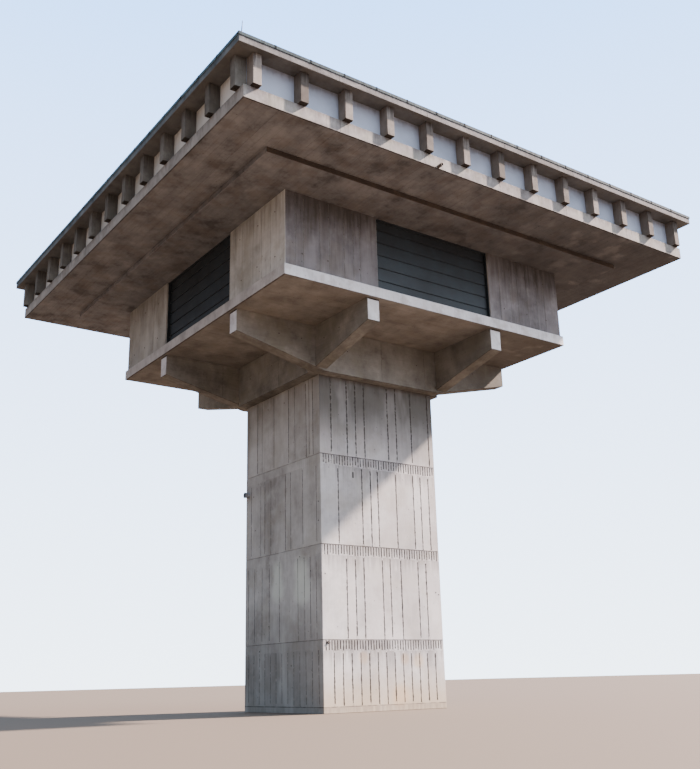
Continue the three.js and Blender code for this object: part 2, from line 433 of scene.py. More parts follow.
@dataclass(frozen=True)
class RoofFelt(Finish):
    """Mineral felt laid on the roof in strips: matt, gritty and dark grey, with dried puddles."""

    grit: str
    worn: str
    puddle: str

    def surface(self, add: Adder, spot: Socket, tone: Socket) -> dict[str, object]:
        """Grit in two greys, a tone for each strip, and darker patches where water stood.

        Args:
            add: What adds a node to the material's tree.
            spot: The place on the object.
            tone: How pale the face is.

        Returns:
            The shader's inputs.
        """
        grit = add("TexNoise", {"Vector": spot, "Scale": 60.0, "Detail": 4.0})["Fac"]
        cloud = add("TexNoise", {"Vector": spot, "Scale": 0.45, "Detail": 5.0})["Fac"]
        worn = add("Math", {0: tone, 1: 0.16, 2: grit}, operation="MULTIPLY_ADD")[0]
        pool = add("MapRange", {"Value": cloud, "From Min": 0.52, "From Max": 0.66, "To Max": 0.6})[0]
        colour = linear(self.grit)
        for share, over in ((worn, self.worn), (pool, self.puddle)):
            colour = add("Mix", {0: share, 6: colour, 7: linear(over)}, data_type="RGBA")[2]
        bump = add("Bump", {"Height": grit, "Strength": 0.6, "Distance": 0.004})[0]
        return {"Base Color": colour, "Roughness": 0.95, "Normal": bump, "Specular IOR Level": 0.15}


@dataclass(frozen=True)
class StudioFloor(Finish):
    """The plain matt floor that the tower stands on."""

    colour: str

    def surface(self, add: Adder, spot: Socket, tone: Socket) -> dict[str, object]:
        """One colour all over."""
        return {"Base Color": linear(self.colour), "Roughness": 0.9}


# What the finishes of like pieces share.
# The beams' tide along X darkens them towards the right, where the key light falls: painted shade.
BEAM = dict(tinge="716f62", grain_strength=0.2, board_tint=0.1, cloud_strength=0.9, seam_strength=0.4,
            run_strength=0.0, bloom_strength=0.3, tides=(Tide("45423e", ALONG_X, -2.0, 7.0, 0.7),))
EDGE = dict(run_depth_m=0.4, run_mm=90, cloud_mm=600, bloom_strength=0.3, pit_strength=0.3)
ROOF_EDGE = dict(EDGE, cloud_strength=0.9, run_strength=0.5, run_depth_m=0.25, run_mm=60, cloud_mm=500)
FIN = dict(grain_mm=25, grain_strength=0.35, cloud_mm=450, seam_mm=45, seam_strength=0.35, run_mm=60,
           run_depth_m=0.9, pit_strength=0.3)
PANEL = dict(grain_mm=160, grain_strength=0.15, cloud_strength=0.4, tinge_strength=0.3, board_tint=0.3,
             run_depth_m=0.45, bloom_strength=0.2, pit_strength=0.0, roughness=0.6)

# Each finish by its name, built once. Concrete has the colours of its body, of its pale and dark
# clouds, of its stains and of its tinge.
FINISHES: dict[str, Finish] = {
    "shaft": CastConcrete(
        "board_marked_concrete_shaft", "a5a4a5", "bebebf", "888787", "3a3635", "9c988f",
        cloud_strength=0.8, grain_strength=0.25, board_tint=0.3, blush_strength=0.25, seam_mm=80,
        seam_strength=0.92, bloom_strength=0.2,
        tides=(Tide("484843", UP, 7.0, 9.3, 0.85), Tide("a89880", DOWN, -1.5, -0.1, 0.75)),
        marks=((-0.82, -2.25, 1.5, 0.3), (0.7, -2.25, 1.45, 0.28), (1.2, -2.25, 1.4, 0.34),
               (0.5, -2.25, 0.42, 0.5))),
    "side_shaft": CastConcrete(
        "board_marked_concrete_shaft_sides", "a9a9a6", "c2c4c1", "82807c", "3a3733", "928e82",
        grain_strength=0.3, board_tint=0.25, seam_mm=80, seam_strength=0.75, bloom_strength=0.3,
        run_strength=0.12, mark="cdd4cb", mark_strength=0.75,
        # The tide along X darkens the right side, where the key light falls: painted shade.
        tides=(Tide("77746b", UP, 8.0, 10.0, 0.5), Tide("6a6864", DOWN, -3.6, -1.2, 0.55),
               Tide("6f6d69", ALONG_X, -1.0, 2.0, 0.8)),
        marks=((-2.25, 0.27, 4.15, 0.5), (-2.25, 0.25, 3.6, 0.6), (-2.25, -1.14, 4.1, 0.6),
               (-2.25, -1.18, 3.5, 0.7))),
    "wall": CastConcrete(
        "board_marked_concrete_walls", "6e6d70", "929194", "535150", "332f2b", "6c665e", grain_mm=60,
        grain_strength=0.3, run_strength=0.3, run_depth_m=1.9, seam_strength=0.45,
        tides=(Tide("38342f", UP, 12.2, 14.4, 0.85, 2.0),)),
    "side_wall": CastConcrete(
        "board_marked_concrete_side_walls", "b4b6b2", "cfd1cc", "90908a", "3b3833", "9b998d",
        grain_mm=60, grain_strength=0.3, run_strength=0.2, run_depth_m=1.9, board_tint=0.1,
        seam_strength=0.25,
        # The tide along X darkens the right side, where the key light falls: painted shade.
        tides=(Tide("66645b", UP, 12.9, 14.5, 0.55, 2.0), Tide("6d6a64", ALONG_Y, -2.0, 4.5, 0.45),
               Tide("74726d", ALONG_X, -1.0, 5.0, 0.75))),
    "beam_x": CastConcrete("board_marked_concrete_beams_along_x", "767570", "8f8e87", "585752", "332e2a",
                           grain=Grain.ALONG_X, **BEAM),
    "beam_y": CastConcrete("board_marked_concrete_beams_along_y", "767570", "8f8e87", "585752", "332e2a",
                           grain=Grain.ALONG_Y, **BEAM),
    "soffit": CastConcrete(
        "board_marked_concrete_soffit", "6a6b6d", "7f7f7f", "464545", "24211d", "625b56",
        grain=Grain.ALONG_Y, grain_mm=70, grain_strength=0.22, board_tint=0.1, seam_strength=0.06,
        run_strength=0.0, bloom_strength=0.3, cloud_mm=900, cloud_strength=0.9, tinge_strength=0.5,
        # The tide along X darkens the soffit towards the right: painted shade.
        tides=(Tide("37383b", ALONG_X, -7.0, 8.5, 0.8),)),
    "platform_soffit": CastConcrete(
        "board_marked_concrete_platform_soffit", "75726d", "8a8781", "5b5854", "332e2a", "756f66",
        grain=Grain.ALONG_X, grain_mm=70, grain_strength=0.15, board_tint=0.1, seam_strength=0.05,
        run_strength=0.0, bloom_strength=0.3, cloud_mm=900,
        # The tide along X darkens the soffit towards the right: painted shade.
        tides=(Tide("3f3c39", ALONG_X, -1.0, 6.0, 0.8),)),
    "roof_soffit": CastConcrete(
        "cast_concrete_roof_soffit", "5c5d5d", "6b6b69", "494846", "24221e", "58544e",
        grain=Grain.ALONG_Y, grain_mm=70, grain_strength=0.15, cloud_mm=900, seam_strength=0.0,
        run_strength=0.0),
    "slab_band": CastConcrete(
        "damp_concrete_slab_band", "3c3530", "463f38", "312b27", "24211d", "50443a", grain=Grain.ALONG_X,
        grain_strength=0.2, cloud_mm=700, seam_strength=0.0, run_strength=0.0, bloom_strength=0.1),
    "slab_edge": CastConcrete("cast_concrete_slab_edge", "d2d4d8", "e0e2e5", "afb0b2", "2a2624", "a9a39e",
                              run_strength=0.3, **EDGE),
    "side_slab_edge": CastConcrete(
        "cast_concrete_side_slab_edge", "b2b1af", "c4c4c2", "91908f", "2a2624", "a09c96",
        # The tide along X darkens the right edge, where the key light falls: painted shade.
        run_strength=0.3, tides=(Tide("7f7d7a", ALONG_X, -1.0, 5.0, 0.7),), **EDGE),
    "lip": CastConcrete("cast_concrete_lip", "7a7777", "92908d", "5c5a58", "3a3532", "87887b",
                        board_tint=0.4, tinge_strength=0.4, cloud_strength=0.9, run_strength=0.4, **EDGE),
    "side_lip": CastConcrete("cast_concrete_side_lip", "8a8884", "a3a09b", "6b6965", "2f2c29", "77716a",
                             # The tide along X darkens the right side, where the key light falls: painted
                             # shade.
                             tides=(Tide("5e5c59", ALONG_X, -1.0, 8.0, 0.8),), **EDGE),
    "roof_edge": CastConcrete("cast_concrete_roof_edge", "5d5d5f", "787777", "454443", "2c2926", "5e5b57",
                              **ROOF_EDGE),
    # A bluish copy of the roof edge for the left and right, standing for skylit shade: painted shade.
    "side_roof_edge": CastConcrete("cast_concrete_side_roof_edge", "535d64", "6c757a", "3c4549", "2c2926",
                                   "5a6062", **ROOF_EDGE),
    "fin": CastConcrete("precast_concrete_fins", "6b6763", "88837e", "403b36", "2e2926", "625a51",
                        board_tint=0.8, run_strength=0.75, **dict(FIN, run_mm=45, run_depth_m=1.0)),
    "fin_flank": CastConcrete(
        "precast_concrete_fin_flanks", "75706a", "87817b", "5c5751", "2e2926", "655d54", board_tint=0.3,
        cloud_strength=0.5, run_strength=0.3, **dict(FIN, grain_strength=0.25, seam_strength=0.0)),
    "side_fin": CastConcrete("precast_concrete_side_fins", "62605b", "787670", "4b4944", "24221f", "5b5750",
                             board_tint=0.5, run_strength=0.4, **FIN),
    "panel": CastConcrete("smooth_precast_panels", "97a2b4", "a9b3c4", "7d8797", "4d4f56", "8f95a2",
                          # The wide dark seam margins are painted shade beside the fins.
                          seam_mm=200, seam_strength=0.55, **PANEL),
    # A lighter, warmer copy of the panels for the left and right: painted reflection of the bright sky. Its
    # tide along X darkens the right side: painted shade.
    "side_panel": CastConcrete(
        "smooth_precast_side_panels", "ced1cd", "e2e4e0", "aeb0aa", "5b5a55", "c0c0b8", seam_mm=60,
        seam_strength=0.3, tides=(Tide("838b96", ALONG_X, -1.0, 7.0, 0.85),), **PANEL),
    "infill": PaintedSheet("coated_infill_boards", "10171b", "1d282e", "0b0e10", roughness=0.55,
                           dirt_strength=0.12, run_mm=900),
    "flashing": PaintedSheet("coated_steel_flashing", "24343a", "384a50", "181f20", roughness=0.75,
                             gloss=0.12),
    # A lighter copy of the flashing for the left and right, standing for light on a shaded side: painted
    # light.
    "side_flashing": PaintedSheet("coated_steel_side_flashing", "3f5762", "587480", "29383d",
                                  roughness=0.75, gloss=0.12),
    "strap": PaintedSheet("tarred_sheet_straps", "0f171a", "182226", "0b0f10", roughness=0.85, gloss=0.08),
    "lamp_housing": PaintedSheet("painted_lamp_housing", "8d9298", "a4a8ac", "5a5856", roughness=0.45),
    "lamp_front": PaintedSheet("dark_lamp_front", "121419", "1b1e24", "24221f", roughness=0.25),
    "iron": PaintedSheet("painted_iron", "2c2c2c", "4a4642", "5a3a26", metallic=0.3, roughness=0.6),
    "felt": RoofFelt("mineral_roof_felt", "1d1c1c", "2e2d2b", "161515"),
    "floor": StudioFloor("pale_studio_floor", "52483d"),}


@cache
def material_of(key: str) -> bpy.types.Material:
    """The material of a finish, built the first time it is asked for."""
    return FINISHES[key].build()


# Working on meshes

Span = tuple[float, float]


def inset(span: Span, margin: float) -> Span:
    """A span with a margin taken off at each end."""
    return span[0] + margin, span[1] - margin


def even_seams(span: Span, pitch: float) -> tuple[float, ...]:
    """Seams a pitch apart in a span, which leave like boards at both ends.

    Args:
        span: Where the boards start and end.
        pitch: How far apart the seams are, about.

    Returns:
        Where the seams are.
    """
    start, end = span
    count = max(1, round((end - start) / pitch))
    return tuple(start + (end - start) * i / count for i in range(1, count))


def nodes_of(prefix: str) -> list[str]:
    """The CAD nodes whose names start alike, in order."""
    return sorted(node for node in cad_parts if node.startswith(prefix))


def placed(name: str, data: bpy.types.ID) -> bpy.types.Object:
    """Puts an object of a mesh, a light or a camera in the scene.

    Args:
        name: The object's name.
        data: What it shows.

    Returns:
        The object.
    """
    made = bpy.data.objects.new(name, data)
    bpy.context.scene.collection.objects.link(made)
    return made


def shown(name: str, bm: BMesh, *keys: str) -> bpy.types.Object:
    """Makes an object of a mesh with its finishes, in the order of the faces' material numbers.

    Args:
        name: The object's name.
        bm: Its mesh, in place, which is freed.
        keys: The names of its finishes.

    Returns:
        The object.
    """
    mesh = bpy.data.meshes.new(name)
    bm.to_mesh(mesh)
    bm.free()
    for key in keys:
        mesh.materials.append(material_of(key))
    return placed(name, mesh)


@dataclass(frozen=True)
class Press:
    """How boards are pressed into a surface, and how they take tones and dirt."""

    groove: float = 0.014           # how wide the groove at a seam is
    depth: float = 0.012
    relief: float = 0.004           # how far a board may lie behind its neighbours
    short: float = 0.0              # how far a groove may stop short of the field's ends
    hung: bool = False              # whether every groove reaches the field's upper end
    clean: float = 0.0              # how far from a seam's dirt the grooves count, 0 for the dirtiest
    rim: float = 0.0                # how much further from that dirt the boards count than they lie
    tint: float = 1.0


@dataclass(frozen=True)
class Boards:
    """A field of boards: where it lies along and across them, and where its seams are."""

    along: Span
    across: Span
    seams: tuple[float, ...]
    look: Press


@dataclass(frozen=True)
class Ground:
    """A flat stretch of a piece's surface that boards were set against."""

    bm: BMesh
    out: Vector
    across: Vector
    along: Vector
    offset: float

    def faces(self) -> list[BMFace]:
        """The faces that lie on this stretch."""
        return [f for f in self.bm.faces if f.normal.dot(self.out) > 0.999
                and abs(f.calc_center_median().dot(self.out) - self.offset) < TIGHT]

    def cut(self, faces: Iterable[BMFace], way: Vector, distance: float) -> list[BMFace]:
        """Cuts faces along the plane at a distance along a direction, and nothing else.

        Args:
            faces: The faces.
            way: The direction.
            distance: How far along it the plane is.

        Returns:
            The faces that the cut left of those that it crossed.
        """
        crossed = [f for f in faces if f.is_valid and min(v.co.dot(way) for v in f.verts) < distance - TIGHT
                   and max(v.co.dot(way) for v in f.verts) > distance + TIGHT]
        geom = list({part for f in crossed for part in (f, *f.edges, *f.verts)})
        if not geom:
            return []
        cut = bmesh.ops.bisect_plane(self.bm, geom=geom, dist=TIGHT / 10, plane_co=way * distance,
                                     plane_no=way)
        return [f for f in cut["geom"] if isinstance(f, BMFace) and f.is_valid]

    def press(self, rng: random.Random, *fields: Boards) -> None:
        """Presses fields of boards in, after cutting out where each one ends.

        Args:
            rng: Where the boards' tones and levels come from.
            fields: The fields, which don't overlap.
        """
        for distance in {d for boards in fields for d in boards.along}:
            self.cut(self.faces(), self.along, distance)
        for boards in fields:
            for seam in boards.seams:
                for distance in (seam - boards.look.groove / 2, seam + boards.look.groove / 2):
                    self.cut(self._field(boards), self.across, distance)
            self._press(boards, rng)

    def _field(self, boards: Boards) -> list[BMFace]:
        """The faces that lie inside a field."""
        (low, high), (start, end) = boards.along, boards.across
        return [f for f in self.faces() if low < f.calc_center_median().dot(self.along) < high
                and start < f.calc_center_median().dot(self.across) < end]

    def _press(self, boards: Boards, rng: random.Random) -> None:
        """Gives each board its own tone and level, and sinks the grooves.

        Args:
            boards: The field, which is cut along its seams.
            rng: Where the tones and levels come from.
        """
        look, edges = boards.look, [boards.across[0], *boards.seams, boards.across[1]]
        ends = list(zip(edges, edges[1:]))
        looks = [(rng.uniform(-1, 1) * look.tint, rng.uniform(0, look.relief)) for _ in ends]
        tone, place = self.bm.faces.layers.float["tone"], self.bm.loops.layers.float_vector["place"]
        grooves, sunk = [], {}
        for face in self._field(boards):
            at = face.calc_center_median().dot(self.across)
            if any(abs(at - seam) < look.groove / 2 for seam in boards.seams):
                grooves.append(face)
                continue
            index = next((i for i, (_, end) in enumerate(ends) if at < end), len(ends) - 1)
            start, end = ends[index]
            left = look.rim + (CLEAN_END if index == 0 else 0)
            right = look.rim + (CLEAN_END if index == len(ends) - 1 else 0)
            face[tone] = looks[index][0]
            for loop in face.loops:
                spot = loop.vert.co
                loop[place] = (spot.dot(self.across) - start + left, end - start + left + right,
                               max(0.0, boards.along[1] - spot.dot(self.along)))
                sunk[loop.vert] = looks[index][1]
        for vert, level in sunk.items():
            vert.co -= self.out * level
        deep = [self._groove(face, look, rng) for face in grooves]
        for loop in (loop for face in deep for loop in face.loops):
            loop[place] = (look.clean, 1.0, max(0.0, boards.along[1] - loop.vert.co.dot(self.along)))
        if deep:
            bmesh.ops.inset_individual(self.bm, faces=deep, thickness=look.groove * 0.2, depth=-look.depth,
                                       use_even_offset=True)

    def _groove(self, face: BMFace, look: Press, rng: random.Random) -> BMFace:
        """Cuts the rough ends off a strip between two boards.

        Args:
            face: The strip.
            look: How the boards are pressed.
            rng: Where the ends come from.

        Returns:
            The face that is left to sink.
        """
        heights = [v.co.dot(self.along) for v in face.verts]
        low, high = min(heights), max(heights)
        ends = low + rng.uniform(0, look.short), high - rng.uniform(0, look.short)
        if look.hung:
            ends = ends[0], high
        for distance in ends:
            if low + TIGHT < distance < high - TIGHT:
                halves = self.cut([face], self.along, distance) or [face]
                face = min(halves, key=lambda f: abs(f.calc_center_median().dot(self.along) - sum(ends) / 2))
        return face


class Piece:
    """A piece of the tower in the making, with its mesh and the box of the node that it replaces."""

    def __init__(self, node: str = "", arris: float = 0.0, segments: int = 1, solid: bool = True) -> None:
        """Starts the mesh, empty or as a clean copy of the node's solid with its arrises rounded.

        Args:
            node: The CAD node that the piece replaces, if any.
            arris: How far from the outer edges the rounding starts.
            segments: How many faces the rounding has.
            solid: Whether the mesh starts from the node's solid.
        """
        self.node, self.bm = node, bmesh.new()
        if node:
            self.low, self.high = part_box(node)
        if node and solid:
            self.bm.from_mesh(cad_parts[node].data)
            bmesh.ops.remove_doubles(self.bm, verts=self.bm.verts[:], dist=TIGHT)
            bmesh.ops.dissolve_limit(self.bm, angle_limit=math.radians(1), verts=self.bm.verts[:],
                                     edges=self.bm.edges[:])
        floats, places = self.bm.faces.layers.float, self.bm.loops.layers.float_vector
        # The second attribute marks stains, and also painted shade under edges and on beams.
        for name in ("tone", "damp"):
            floats.new(name)
        places.new("place")
        self.tone, self.damp, self.place = floats["tone"], floats["damp"], places["place"]
        if arris:
            self.round(arris, segments)

    def span(self, way: Vector) -> Span:
        """Where the node's box starts and ends along a direction."""
        low, high = sorted((self.low.dot(way), self.high.dot(way)))
        return low, high

    def ground(self, out: Vector, across: Vector, along: Vector = UP) -> Ground:
        """The face of the node's box on one side, with the directions across and along its boards."""
        return Ground(self.bm, out, across, along, self.span(out)[1])

    def each(self) -> Iterator[tuple[BMFace, Vector, Vector]]:
        """Each face with its normal and its centre."""
        return ((face, face.normal, face.calc_center_median()) for face in self.bm.faces)

    def round(self, width: float, segments: int = 1,
              keep: Callable[[BMEdge], bool] = lambda edge: True) -> None:
        """Takes the sharp outer edges off.

        Args:
            width: How far from the edge the cut starts.
            segments: How many faces the rounding has.
            keep: Says which of the outer edges are rounded.
        """
        edges = [e for e in self.bm.edges if len(e.link_faces) == 2
                 and e.calc_face_angle_signed(0) > math.radians(30) and keep(e)]
        bmesh.ops.bevel(self.bm, geom=edges, offset=width, offset_type="OFFSET", segments=segments,
                        profile=0.5, affect="EDGES", clamp_overlap=True, material=-1)

    def block(self, low: Sequence[float], high: Sequence[float]) -> None:
        """Adds a box from its lowest to its highest corner.

        Args:
            low: The lowest corner.
            high: The highest corner.
        """
        size = [h - l for l, h in zip(low, high)]
        place = Matrix.Translation([(h + l) / 2 for l, h in zip(low, high)]) @ Matrix.Diagonal((*size, 1))
        bmesh.ops.create_cube(self.bm, size=1, matrix=place)

    def cone(self, spot: Sequence[float], radii: tuple[float, float], depth: float, segments: int,
             turn: Matrix = Matrix.Identity(4)) -> None:
        """Adds a cone or a drum with closed ends.

        Args:
            spot: Its middle.
            radii: Its radius where it starts and where it ends.
            depth: Its length.
            segments: How many faces go round it.
            turn: What turns it from upright.
        """
        bmesh.ops.create_cone(self.bm, cap_ends=True, segments=segments, radius1=radii[0], radius2=radii[1],
                              depth=depth, matrix=Matrix.Translation(spot) @ turn)

    def plug(self, side: Side, offset: float, across: float, height: float) -> None:
        """Adds the mortar plug of a tie's hole, a low cone.

        Args:
            side: The side of the tower that it is on.
            offset: The wall face's distance from the axis.
            across: Its place along the side.
            height: Its height.
        """
        spot = side.out * (offset - 0.001) + side.across * across + UP * height
        self.cone(spot, (0.024, 0.019), 0.006, 12, side.out.to_track_quat("Z", "Y").to_matrix().to_4x4())

    def finish(self, what: str, slot: str, *keys: str) -> None:
        """Makes the piece's object and hangs it on the tower's body.

        Args:
            what: What its name has after the node's name, or its whole name.
            slot: The record's material slot; not used.
            keys: The finishes, in the order of the faces' material numbers.
        """
        piece = shown("_".join(filter(None, (self.node, what))), self.bm, *keys)
        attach(piece, BODY)
        if self.node:
            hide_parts(self.node)
        LOG.info("%s: %d faces", piece.name, len(piece.data.polygons))


def press_edges(slab: Piece, rng: random.Random, joint: float, margin: float) -> None:
    """Presses fine upright joints into the four edges of a slab.

    Args:
        slab: The slab.
        rng: Where the lengths' tones and levels come from.
        joint: How far apart the joints are.
        margin: How far the fields stay inside the edges.
    """
    for side in Side:
        slab.ground(side.out, side.across).press(rng, Boards(
            inset(slab.span(UP), margin), inset(slab.span(ALONG_X), margin),
            even_seams(slab.span(ALONG_X), joint), Press(0.008, 0.004, 0.002)))


def pale_edges(slab: Piece, drip: float) -> None:
    """Gives a slab pale edges over a dark strip of drip stain and painted shade.

    Args:
        slab: The slab.
        drip: How wide the dark strip under its edges is.
    """
    for face, normal, centre in slab.each():
        if normal.z > -0.3:
            face.material_index = 2 if abs(normal.x) > 0.6 else 1
        # The lower chamfers and a strip under the edges are darkened: drip stain and painted shade.
        elif normal.z > -0.9 or max(abs(centre.x), abs(centre.y)) > slab.high.x - drip:
            face[slab.damp] = 0.7


# The tower's parts

@dataclass
class Shaft:
    """The hollow square shaft: four lifts of concrete with their boards, rib bands and fittings."""

    arris: float = 0.012
    margin: float = 0.014           # from a joint between lifts to the boards
    step: float = 0.006             # between a band and the boards below it
    rib_count: int = 45
    rib_band: float = 0.31
    plain_band: float = 0.26
    plinth: float = 0.17
    line: float = 0.01              # how far below the plinth's top its dark line starts
    ribs: Press = Press(0.036, 0.014, 0.003, 0.06, True, 0.006, 0.06, 0.35)
    plain: Press = Press(relief=0.003, tint=0.5)
    front_boards: Press = Press(0.03, 0.016, short=0.09)
    side_boards: Press = Press(0.019, 0.011, short=0.09, rim=0.02)
    foot_boards: Press = Press(tint=0.4)
    # Seams on the front, from its left edge, lift by lift; the back repeats them.
    front_seams: tuple[tuple[float, ...], ...] = (tuple(0.38 + 0.3135 * i for i in range(13)),
        (0.89, 1.21, 1.52, 2.22, 2.52, 2.93, 3.61, 3.93),
        (0.64, 1.53, 1.86, 2.14, 2.86, 3.56, 3.86, 4.19),
        (0.42, 1.02, 1.35, 1.69, 2.62, 2.96, 3.58, 4.30),)
    # Seams on the left, from its front edge; the right repeats them from its front edge.
    side_seams: tuple[tuple[float, ...], ...] = (tuple(0.23 + 0.335 * i for i in range(13)),
        (0.30, 0.62, 0.94, 1.31, 2.38, 2.98, 3.43, 3.90, 4.30),
        (0.24, 1.00, 1.69, 2.00, 2.89, 3.27, 3.53, 4.14),
        (0.38, 0.58, 0.76, 1.42, 1.79, 2.69, 3.45, 3.76, 4.35),)
    # Tie holes on the left, as the distance back from the front edge and the height.
    side_holes: tuple[tuple[float, float], ...] = (
        (3.07, 9.54), (2.05, 9.52), (4.00, 6.76), (3.89, 5.63), (0.14, 5.99), (0.15, 5.42),
        (0.60, 3.99), (3.00, 2.53), (1.71, 1.33), (3.57, 1.80), (1.19, 4.47),)
    # Tie holes on the front, as the distance from the left edge and the height.
    front_holes: tuple[tuple[float, float], ...] = ((0.12, 3.86), (4.29, 3.44), (4.40, 3.38), (1.32, 9.20))
    # The lamp's plate, drum and rim: how far out each starts and ends, and how wide it is, as shares.
    lamp_stages: tuple[tuple[float, ...], ...] = ((0.0, 0.12, 1.0), (0.12, 0.8, 0.88), (0.8, 1.0, 1.0))

    def build(self) -> None:
        """Builds the lifts, the shaft's head and the small fittings."""
        for number in range(len(self.front_seams)):
            self._lift(number)
        Piece("shaft_head").finish("walls", "beam_concrete", "beam_x")
        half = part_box("shaft_lift_1")[1].x
        self._tie_plugs(half)
        self._lamp()
        self._fittings(half)

    def _lift(self, number: int) -> None:
        """One lift, with boards on all four sides.

        Args:
            number: The lift's number, from 0 at the ground.
        """
        lift = Piece(f"shaft_lift_{number + 1}")
        outside = lift.high.x - TIGHT
        lift.round(self.arris, keep=lambda e: max(abs(c) for v in e.verts for c in v.co.xy) > outside)
        for side in Side:
            lift.ground(side.out, side.across).press(
                random.Random(f"{lift.node}{side.word}"), *self._fields(side, number, lift))
        self._soil(lift, number == 0)
        for face, normal, _ in lift.each():
            face.material_index = int(abs(normal.x) > abs(normal.y))
        lift.finish("boards", "shaft_concrete", "shaft", "side_shaft")

    def _fields(self, side: Side, number: int, lift: Piece) -> list[Boards]:
        """The fields on one side of a lift: its band under the joint, its boards and its plinth.

        Args:
            side: The side.
            number: The lift's number, from 0 at the ground.
            lift: The lift.

        Returns:
            The fields, from the top down.
        """
        half, (bottom, top) = lift.high.x, lift.span(UP)
        across, fields = inset((-half, half), self.arris), []
        seams = [s - half for s in (self.front_seams if side.like_front else self.side_seams)[number]]
        if side is Side.LEFT:
            seams = sorted(-s for s in seams)
        upper, lower = top - self.margin, bottom + self.margin
        if number < len(self.front_seams) - 1:
            ribs = even_seams(across, (across[1] - across[0]) / self.rib_count) if side.like_front else ()
            band, look = (self.rib_band, self.ribs) if ribs else (self.plain_band, self.plain)
            fields.append(Boards((top - band, upper), across, ribs, look))
            upper = top - band - self.step
        foot = 0.0 if number else self.plinth
        fields.append(Boards((bottom + foot + self.margin, upper), across, tuple(seams),
                             self.front_boards if side.like_front else self.side_boards))
        if foot:
            fields.append(Boards((lower, bottom + foot - self.line), across, (), self.foot_boards))
        return fields

    def _soil(self, lift: Piece, lowest: bool) -> None:
        """The brown water stain in the lowest ribs, and the dirt in the joints and in the line over the
        plinth.

        Args:
            lift: The lift.
            lowest: Whether it is the lift at the ground.
        """
        half, (bottom, top) = lift.high.x, lift.span(UP)
        foot = bottom + self.plinth
        for face, normal, centre in lift.each():
            left_half = centre.y < -half + 0.05 and -half + 0.3 < centre.x < 0.1
            if lowest and left_half and top - self.rib_band < centre.z < top - self.margin:
                face[lift.damp] = 0.9 if centre.y > -half + 0.004 else 0.42
            outer = max(abs(centre.x), abs(centre.y)) > half - self.arris
            if outer and 0.3 < abs(normal.z) < 0.9 and (not lowest or normal.z > 0):
                face[lift.damp] = 0.75 if abs(centre.y) > half - self.arris else 0.4
            if lowest and foot - self.line < centre.z < foot + self.margin and abs(normal.z) < 0.1:
                face[lift.damp] = 0.7

    def _tie_plugs(self, half: float) -> None:
        """Mortar plugs in the holes that the shuttering's ties left.

        Args:
            half: The shaft's half width.
        """
        plugs = Piece()
        for back, height in self.side_holes:
            plugs.plug(Side.LEFT, half, half - back, height)
            plugs.plug(Side.RIGHT, half, back - half, height)
        for right, height in self.front_holes:
            plugs.plug(Side.FRONT, half, right - half, height)
            plugs.plug(Side.BACK, half, right - half, height)
        plugs.finish("shaft_tie_plugs", "dark_metal", "iron")

    def _lamp(self) -> None:
        """The round lamp on the left: a plate on the wall, a grey drum, and a dark front in a rim."""
        lamp = Piece("shaft_lamp", solid=False)
        low, high = lamp.low, lamp.high
        centre, radius, length = (low + high) / 2, (high.z - low.z) / 2, high.x - low.x
        for start, end, wide in self.lamp_stages:
            lamp.cone((high.x - length * (start + end) / 2, centre.y, centre.z), (radius * wide,) * 2,
                      length * (end - start), 28, Matrix.Rotation(-math.pi / 2, 4, "Y"))
        lamp.round(0.005, 2)
        front = [f for f, normal, middle in lamp.each() if normal.x < -0.99 and middle.x < low.x + TIGHT]
        bmesh.ops.inset_individual(lamp.bm, faces=front, thickness=0.008, depth=-0.012, use_even_offset=True)
        for face in front:
            face.material_index = 1
        lamp.finish("body", "dark_metal", "lamp_housing", "lamp_front")

    def _fittings(self, half: float) -> None:
        """A vent slot and a wall bolt on the front.

        Args:
            half: The shaft's half width.
        """
        vent, bolt = Piece(), Piece()
        vent.block((-1.08, -half - 0.006, 6.79), (-1.02, -half + 0.02, 6.97))
        vent.round(0.004)
        vent.finish("shaft_vent_slot", "dark_metal", "iron")
        turn = Matrix.Rotation(math.pi / 2, 4, "X")
        bolt.cone((-2.07, -half - 0.012, 1.925), (0.045, 0.032), 0.04, 12, turn)
        bolt.block((-2.13, -half - 0.006, 1.90), (-2.0, -half + 0.01, 1.94))
        bolt.finish("shaft_wall_bolt", "dark_metal", "iron")


